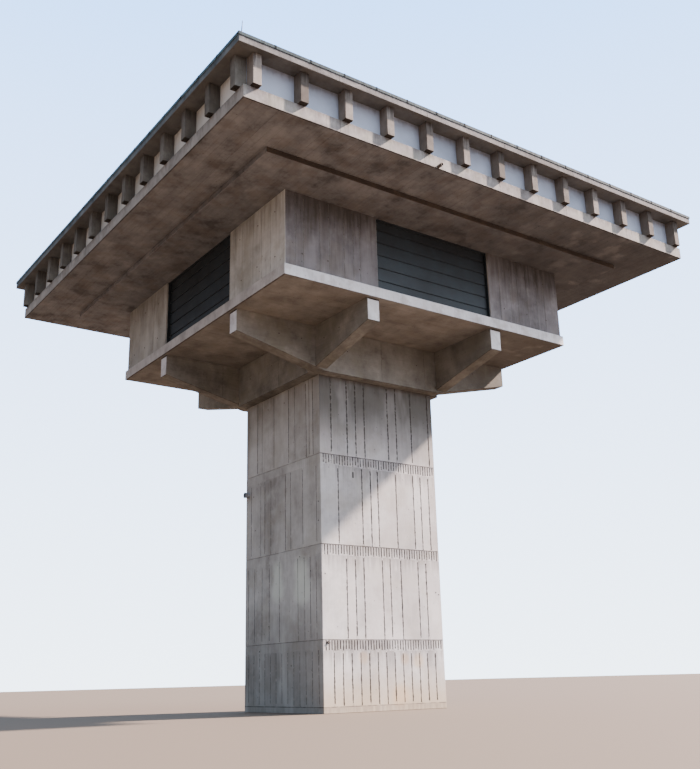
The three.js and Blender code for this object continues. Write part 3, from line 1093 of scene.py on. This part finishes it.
@dataclass
class CrossBeams:
    """The crossed beams with their tapered ends."""

    arris: float = 0.012
    joint_widths: Span = (2.4 * 0.7, 2.4 * 1.3)     # from the shortest to the longest length
    joints: Press = Press(0.006, 0.004, 0.002, 0.1)
    far: float = 5.0                # from the axis, past which an end sticks out
    gap: float = 0.045              # how tall the painted shadow strip is, at the top of a beam's end under the slab
    wet: float = 2.0                # how dark that strip is painted; past 1 it leaves no clean spots
    holes: tuple[float, ...] = (-3.9, -3.1, -1.4, 0.0, 1.4, 3.1, 3.9)
    hole_drop: Span = (0.45, 0.65)  # how far below the beam's top they are

    def build(self) -> None:
        """Builds every beam from its node, and the plugs in their sides."""
        for node in nodes_of("beam_"):
            self._beam(Piece(node, self.arris))
        plugs = Piece()
        low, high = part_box("beam_front")
        for side in Side:
            rng = random.Random(f"beam ties{side.word}")
            for across in self.holes:
                plugs.plug(side, -low.y, across, high.z - rng.uniform(*self.hole_drop))
        plugs.finish("beam_tie_plugs", "dark_metal", "iron")

    def _beam(self, beam: Piece) -> None:
        """One length of beam, with a few upright joints on its sides and an underside darkened as painted
        shade.

        Args:
            beam: The length, as its node has it.
        """
        size = beam.high - beam.low
        along, across = (ALONG_X, ALONG_Y) if size.x > size.y else (ALONG_Y, ALONG_X)
        rng, reach = random.Random(beam.node), inset(beam.span(along), 0.02)
        for sign in (-1, 1):
            beam.ground(across * sign, along).press(rng, Boards(
                inset(beam.span(UP), 0.002), reach, self._seams(reach, rng), self.joints))
        for sign in (-1, 1):
            self._end(beam, along * sign)
        # The undersides and lower chamfers are darkened: painted shade.
        for face, normal, _ in beam.each():
            if normal.z < -0.3:
                face[beam.damp] = 0.4 if normal.z < -0.9 else 0.7
        beam.finish("cast", "beam_concrete", "beam_x" if along is ALONG_X else "beam_y", "slab_edge")

    def _seams(self, reach: Span, rng: random.Random) -> tuple[float, ...]:
        """Seams between lengths of chance size.

        Args:
            reach: Where the lengths start and end.
            rng: Where their sizes come from.

        Returns:
            Where the seams are.
        """
        seams, at = [], reach[0] + rng.uniform(*self.joint_widths)
        while at < reach[1] - self.joint_widths[0] * 0.7:
            seams.append(at)
            at += rng.uniform(*self.joint_widths)
        return tuple(seams)

    def _end(self, beam: Piece, out: Vector) -> None:
        """Makes an end that sticks out pale, below a strip painted dark as the shadow of a gap.

        Args:
            beam: The beam.
            out: The direction that the end faces.
        """
        ground, under = beam.ground(out, UP), beam.high.z - self.gap
        if ground.offset < self.far:
            return
        ground.cut(ground.faces(), UP, under)
        for face in ground.faces():
            face.material_index = 1
            # The strip at the top of the end is painted shadow.
            face[beam.damp] = self.wet if face.calc_center_median().z > under else 0.0


@dataclass
class Platform:
    """The slab on the beams that carries the walls."""

    arris: float = 0.012
    board: float = 0.42
    margin: float = 0.05
    boards: Press = Press(0.004, 0.002, 0.002, tint=0.8)

    def build(self) -> None:
        """Builds the slab, with boards under it and a smooth pale edge."""
        slab = Piece("platform_slab", self.arris)
        long, wide = slab.span(ALONG_X), slab.span(ALONG_Y)
        slab.ground(DOWN, ALONG_Y, ALONG_X).press(random.Random("platform"), Boards(
            inset(long, self.margin), inset(wide, self.margin), even_seams(wide, self.board), self.boards))
        # The dark strip under the edges is drip stain and painted shade.
        pale_edges(slab, self.margin)
        slab.finish("cast", "slab_concrete", "platform_soffit", "slab_edge", "side_slab_edge")


@dataclass
class WallStorey:
    """The eight lengths of wall and the dark infills between them."""

    arris: float = 0.010
    # Seams across each side, from its middle; the back repeats the front and the right the left.
    front_seams: tuple[float, ...] = (-5.06, -4.79, -4.24, -3.93, -3.42, -3.09, -2.86,
                                      2.70, 3.17, 3.50, 3.94, 4.39, 4.74)
    side_seams: tuple[float, ...] = (-4.46, -3.85, -3.26, -2.86, 2.56, 2.99, 3.63, 4.11, 4.62)
    holes: tuple[float, ...] = (-4.9, -4.0, -2.9, 2.9, 3.9, 4.8)
    hole_rows: Span = (0.45, 0.5)   # how far their rows are from the foot and from the top
    boards: Press = Press(0.010, 0.006, short=0.15)
    foot: float = 0.02
    infill_board: float = 0.2
    trim: float = 0.025
    trim_depth: float = 0.09
    trim_gap: float = 0.0005

    def build(self) -> None:
        """Builds the walls, the infills with their trims, and two rows of mortar plugs on the walls."""
        for side in Side:
            for node in nodes_of(f"wall_{side.word}_"):
                self._wall(side, Piece(node, self.arris))
            self._infill(side, Piece(f"infill_{side.word}", 0.004))
        plugs = Piece()
        low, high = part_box("wall_front_left")
        for side in Side:
            rng = random.Random(f"ties{side.word}")
            for row in (low.z + self.hole_rows[0], high.z - self.hole_rows[1]):
                for hole in self.holes:
                    across = hole + rng.uniform(-0.08, 0.08)
                    plugs.plug(side, -low.y, across, row + rng.uniform(-0.04, 0.04))
        plugs.finish("wall_tie_plugs", "dark_metal", "iron")

    def _wall(self, side: Side, wall: Piece) -> None:
        """One length of wall: boards on its outer face, water runs on its ends, and a dark foot.

        Args:
            side: The side that it is on.
            wall: The length, as its node has it.
        """
        across, (bottom, top) = wall.span(side.across), wall.span(UP)
        seams = tuple(s for s in (self.front_seams if side.like_front else self.side_seams)
                      if across[0] + 0.1 < s < across[1] - 0.1)
        wall.ground(side.out, side.across).press(random.Random(wall.node), Boards(
            inset((bottom, top), self.foot), inset(across, 0.012), seams, self.boards))
        for face, normal, centre in wall.each():
            if centre.z < bottom + self.foot:
                face[wall.damp] = 0.8
            if abs(normal.dot(side.across)) > 0.99:
                for loop in face.loops:
                    loop[wall.place] = (0.3, 0.6, top - loop.vert.co.z)
            face.material_index = int(not side.like_front or abs(normal.x) > 0.6)
        wall.finish("boards", "wall_concrete", "wall", "side_wall")

    def _infill(self, side: Side, infill: Piece) -> None:
        """The broad level boards between two walls, and the dark trim in front, round the opening.

        Args:
            side: The side that they are on.
            infill: The boards, as their node has them.
        """
        rng, levels = random.Random(infill.node), {}
        bottom, top = infill.span(UP)
        for face, _, centre in infill.each():
            # Higher boards are darker, under the tray: painted shade; each board also has a random tone.
            darker = 1.6 * (centre.z - bottom) / (top - bottom)
            face[infill.tone] = levels.setdefault(
                round(centre.z / self.infill_board), 0.9 - darker + rng.uniform(-0.15, 0.15))
        left, right = infill.span(side.across)
        front, reach = infill.span(side.out)[1] + self.trim_gap, (right - left) / 2 - self.trim_gap
        infill.finish("boards", "infill_metal", "infill")
        bottom, top = inset((bottom, top), self.trim_gap)
        trim, inner = Piece(), reach - self.trim
        for start, end, under in ((-reach, -inner, bottom), (inner, reach, bottom),
                                  (-inner, inner, top - self.trim)):
            trim.block((start, -front - self.trim_depth, under), (end, -front, top))
        trim.bm.transform(side.turn.to_4x4())
        trim.finish(f"infill_trim_{side.word}", "infill_metal", "infill")


@dataclass
class TankTray:
    """The wide floor of the tank storey and the lower slab under it."""

    arris: float = 0.012
    board: float = 0.24
    drip: float = 0.035             # the dark strip under an edge: drip stain and painted shade
    boards: Press = Press(0.004, 0.002, 0.0015)
    lip_joint: float = 2.75

    def build(self) -> None:
        """Builds the lower slab with dark stained front and back edges, the floor slab with a pale lip, and
        the spout.
        """
        lower = self._slab("tank_base_slab", "lower_slab")
        for face, normal, _ in lower.each():
            face.material_index = int(abs(normal.y) > 0.5)
        lower.finish("boards", "soffit_concrete", "soffit", "slab_band")
        floor = self._slab("tank_floor_slab", "floor_slab")
        press_edges(floor, random.Random("lip"), self.lip_joint, 0.014)
        pale_edges(floor, self.drip)
        floor.finish("cast", "soffit_concrete", "soffit", "lip", "side_lip")
        self._spout()

    def _slab(self, node: str, seed: str) -> Piece:
        """A slab with boards pressed into its underside, inside the dark strip under its edges.

        Args:
            node: The slab's node.
            seed: What its boards' tones come from.

        Returns:
            The slab, not finished yet.
        """
        slab = Piece(node, self.arris)
        reach = (self.drip - slab.high.x, slab.high.x - self.drip)
        ground = slab.ground(DOWN, ALONG_X, ALONG_Y)
        for distance in reach:
            ground.cut(ground.faces(), ALONG_X, distance)
        ground.press(random.Random(seed), Boards(reach, reach, even_seams(reach, self.board), self.boards))
        return slab

    def _spout(self) -> None:
        """A short pipe with an open end, through the front edge."""
        spout = Piece("drain_spout", solid=False)
        bm, low, high = spout.bm, spout.low, spout.high
        centre = (low + high) / 2
        turn = Matrix.Translation((centre.x, high.y, centre.z)) @ Matrix.Rotation(math.pi / 2, 4, "X")
        radius = (high.x - low.x) / 2
        ring = bmesh.ops.create_circle(bm, cap_ends=False, segments=20, radius=radius, matrix=turn)
        edges = list({e for v in ring["verts"] for e in v.link_edges})
        grown = bmesh.ops.extrude_edge_only(bm, edges=edges)
        moved = [v for v in grown["geom"] if isinstance(v, BMVert)]
        bmesh.ops.translate(bm, verts=moved, vec=(0, low.y - high.y, 0))
        bmesh.ops.recalc_face_normals(bm, faces=bm.faces[:])
        bmesh.ops.solidify(bm, geom=bm.faces[:], thickness=0.006)
        bmesh.ops.recalc_face_normals(bm, faces=bm.faces[:])
        spout.finish("pipe", "dark_metal", "iron")


@dataclass
class Facade:
    """The rows of fins and the smooth panels behind them, on each side."""

    fin_width: float = 0.24
    # How pale each fin of a row is, from its left end: the cleanest is 1 and the dirtiest -1.
    fin_tones: tuple[float, ...] = (0.6, -0.9, 0.3, 0.1, -0.7, 0.1, -1.0, -0.4, -0.5, 0.0, -0.6, -0.8, -0.5)
    arris: float = 0.010
    margin: float = 0.004
    joints: Press = Press(0.012, 0.006, 0.002)

    def build(self) -> None:
        """Builds the fins and the panels of every side."""
        for side in Side:
            row, last = Piece(f"fin_row_{side.word}", self.arris), len(self.fin_tones) - 1
            reach = max(abs(end) for end in row.span(side.across)) - self.fin_width / 2
            centres = [-reach + 2 * reach * i / last for i in range(last + 1)]
            self._fins(side, row, centres)
            self._panels(side, Piece(f"fascia_panel_{side.word}"), centres)

    def _fins(self, side: Side, row: Piece, centres: list[float]) -> None:
        """One row of fins on its sill, each fin with its own tone and its own dirt below the roof.

        Args:
            side: The side that it is on.
            row: The row.
            centres: Where the fins stand along the side.
        """
        half = self.fin_width / 2
        for face, normal, middle in row.each():
            at = middle.dot(side.across)
            nearest = min(range(len(centres)), key=lambda i: abs(centres[i] - at))
            if abs(centres[nearest] - at) > half + TIGHT:
                continue
            face[row.tone] = self.fin_tones[nearest]
            if normal.z < -0.3:
                face[row.damp] = 0.9
            flank = abs(normal.dot(side.across)) > 0.9
            face.material_index = int(flank)
            for loop in face.loops:
                spot = loop.vert.co
                inwards = half if flank else spot.dot(side.across) - centres[nearest] + half
                loop[row.place] = (inwards, self.fin_width, max(0.0, row.high.z - spot.z))
        row.finish("cast", "fin_concrete", *(("fin", "fin_flank") if side.like_front else ("side_fin",) * 2))

    def _panels(self, side: Side, panel: Piece, centres: list[float]) -> None:
        """The panels, with a joint behind each fin but those at the ends.

        Args:
            side: The side that they are on.
            panel: The panels, as their node has them.
            centres: Where the fins stand along the side.
        """
        across = panel.span(side.across)
        seams = tuple(c for c in centres if across[0] + 0.2 < c < across[1] - 0.2)
        panel.ground(side.out, side.across).press(random.Random(panel.node), Boards(
            inset(panel.span(UP), self.margin), inset(across, self.margin), seams, self.joints))
        panel.finish("cast", "fascia_panel", "panel" if side.like_front else "side_panel")


@dataclass
class Roof:
    """The thin roof slab with its felt, its flashing and the lightning rod."""

    arris: float = 0.010
    felt_strip: float = 1.0
    felt_margin: float = 0.1
    felt: Press = Press(0.012, 0.003, 0.003)
    edge_joint: float = 2.9
    strap_pitch: float = 1.03
    strap_width: float = 0.05
    strap_proud: float = 0.004
    apron: float = 0.035
    rod_lean: float = 0.03          # how far the rod's tip leans to the right

    def build(self) -> None:
        """Builds the slab, the flashings with their straps, and the rod."""
        self._slab()
        for side in Side:
            self._flashing(side)
        self._rod()

    def _slab(self) -> None:
        """The slab: felt strips on top and cast concrete at its edges and under it."""
        slab, rng = Piece("roof_slab", self.arris), random.Random("roof")
        reach = (self.felt_margin - slab.high.x, slab.high.x - self.felt_margin)
        slab.ground(UP, ALONG_X, ALONG_Y).press(rng, Boards(
            reach, reach, even_seams(reach, self.felt_strip), self.felt))
        press_edges(slab, rng, self.edge_joint, 0.012)
        for face, normal, _ in slab.each():
            if abs(normal.z) > 0.3:
                face.material_index = 1 if normal.z > 0 else 2
            elif abs(normal.x) > 0.6:
                face.material_index = 3
        slab.finish("cast", "slab_concrete", "roof_edge", "felt", "roof_soffit", "side_roof_edge")

    def _flashing(self, side: Side) -> None:
        """One length of flashing, its apron, and a strap over each joint in the sheet.

        Args:
            side: The side that it is on.
        """
        sheet, apron, straps = Piece(f"roof_flashing_{side.word}", 0.006, 2), Piece(), Piece()
        half = max(abs(end) for end in sheet.span(side.across))
        (inner, outer), (bottom, top) = sheet.span(side.out), sheet.span(UP)
        low = bottom - self.apron
        apron.block((-half, -outer, low), (half, -outer + 0.012, bottom + 0.004))
        for at in even_seams((-half, half), self.strap_pitch):
            straps.block((at - self.strap_width / 2, -outer - self.strap_proud, low + 0.002),
                         (at + self.strap_width / 2, -inner - 0.01, top + self.strap_proud))
        straps.round(0.002)
        key = "flashing" if side.like_front else "side_flashing"
        for piece, what, look in ((apron, "apron", key), (straps, "straps", "strap")):
            piece.bm.transform(side.turn.to_4x4())
            piece.finish(f"{sheet.node}_{what}", "flashing_metal", look)
        for face, normal, _ in sheet.each():
            face.material_index = int(abs(normal.z) > 0.5)
        sheet.finish("sheet", "flashing_metal", key, "flashing")

    def _rod(self) -> None:
        """The lightning rod, a thin rod that tapers to a point, on a round foot."""
        rod = Piece("lightning_rod", solid=False)
        low, high = rod.low, rod.high
        centre, radius = (low + high) / 2, (high.x - low.x) / 2
        for base, wide, tall in ((0.0, radius, 0.012), (0.012, radius * 0.62, 0.02), (0.03, 0.014, 0.30),
                                 (0.33, 0.010, 0.16)):
            rod.cone((centre.x, centre.y, low.z + base + tall / 2), (wide, wide * 0.9), tall, 16)
        rod.cone((centre.x, centre.y, high.z - 0.015), (0.009, 0.0), 0.03, 16)
        for vert in rod.bm.verts:
            vert.co.x += self.rod_lean * (vert.co.z - low.z) / (high.z - low.z)
        rod.finish("spike", "dark_metal", "iron")


@dataclass
class Studio:
    """The pale floor, the soft light and the camera."""

    floor_half: float = 300.0
    sky_light: str = "cddcf3"
    backdrop_low: str = "d9e7f7"
    backdrop_high: str = "5f9fec"
    backdrop_strength: float = 6.0
    camera_at: tuple[float, float, float] = (-17.59, -25.178, 0.887)
    yaw_deg: float = 35.77          # from the front's own direction towards the right
    pitch_deg: float = 17.48
    roll_deg: float = -1.48
    focal_px: float = 938.2
    wide_px: int = 700
    sensor_mm: float = 36.0
    # Each lamp's name, the direction its light comes from, its strength, how wide it looks and its colour.
    lamps: tuple[tuple[str, tuple[float, float, float], float, float, str], ...] = (
        ("key", (0.73, -0.25, 0.636), 33.0, 2.5, "ffe6da"),
        ("fill", (0.15, -0.75, 0.62), 3.1, 70.0, "e6eefa"))

    def build(self) -> None:
        """Sets up a wide plain floor at ground level, the light and the camera."""
        bm = bmesh.new()
        bmesh.ops.create_grid(bm, x_segments=1, y_segments=1, size=self.floor_half)
        floor = shown("floor", bm, "floor")
        self._sky()
        self._lamps()
        self._camera()

    def _sky(self) -> None:
        """A sky that lights less from the left and from low down, and a pale backdrop."""
        world = bpy.data.worlds.new("studio")
        bpy.context.scene.world = world
        add = emptied(world)
        way = add("TexCoord")["Generated"]
        right, _, up = add("SeparateXYZ", {"Vector": way})
        strength = add("MapRange", {
            "Value": right, "From Min": -1.0, "From Max": 0.9, "To Min": 0.65, "To Max": 2.3})[0]
        height = add("MapRange", {
            "Value": up, "From Min": 0.0, "From Max": 0.5, "To Min": 0.55, "To Max": 1.2})[0]
        strength = add("Math", {0: strength, 1: height}, operation="MULTIPLY")[0]
        sky = add("Background", {"Color": linear(self.sky_light), "Strength": strength})
        rise = add("MapRange", {"Value": up, "From Min": 0.0, "From Max": 0.75})[0]
        shade = add("Mix", {
            0: rise, 6: linear(self.backdrop_low), 7: linear(self.backdrop_high)}, data_type="RGBA")[2]
        backdrop = add("Background", {"Color": shade, "Strength": self.backdrop_strength})
        seen = add("LightPath")["Is Camera Ray"]
        both = add("MixShader", {0: seen, 1: sky[0], 2: backdrop[0]})
        add("OutputWorld", {"Surface": both[0]})

    def _lamps(self) -> None:
        """A sunny key light from the right, and a broad soft fill from the front."""
        for name, source, energy, spread_deg, colour in self.lamps:
            light = bpy.data.lights.new(name, "SUN")
            light.energy = energy
            light.angle = math.radians(spread_deg)
            light.color = linear(colour)[:3]
            placed(name, light).rotation_euler = Vector(source).to_track_quat("Z", "Y").to_euler()

    def _camera(self) -> None:
        """The camera, low at the near corner and looking up."""
        yaw, pitch, roll = (math.radians(a) for a in (self.yaw_deg, self.pitch_deg, self.roll_deg))
        forward = Vector((math.sin(yaw) * math.cos(pitch), math.cos(yaw) * math.cos(pitch), math.sin(pitch)))
        level = Vector((math.cos(yaw), -math.sin(yaw), 0))
        upright = level.cross(forward)
        right = level * math.cos(roll) + upright * math.sin(roll)
        up = upright * math.cos(roll) - level * math.sin(roll)
        camera = bpy.data.cameras.new("camera")
        camera.sensor_fit = "HORIZONTAL"
        camera.sensor_width = self.sensor_mm
        camera.lens = self.focal_px / self.wide_px * self.sensor_mm
        camera.clip_end = 1000
        holder = placed("camera", camera)
        turn = Matrix((right, up, -forward)).transposed().to_4x4()
        holder.matrix_world = Matrix.Translation(self.camera_at) @ turn
        bpy.context.scene.camera = holder


def main() -> None:
    """Builds the tower's parts in order, then the studio."""
    logging.basicConfig(level=logging.INFO, format="%(name)s: %(message)s")
    for part in (Shaft(), CrossBeams(), Platform(), WallStorey(), TankTray(), Facade(), Roof(), Studio()):
        part.build()
        LOG.info("%s is done", type(part).__name__)


if __name__ == "__main__":
    main()
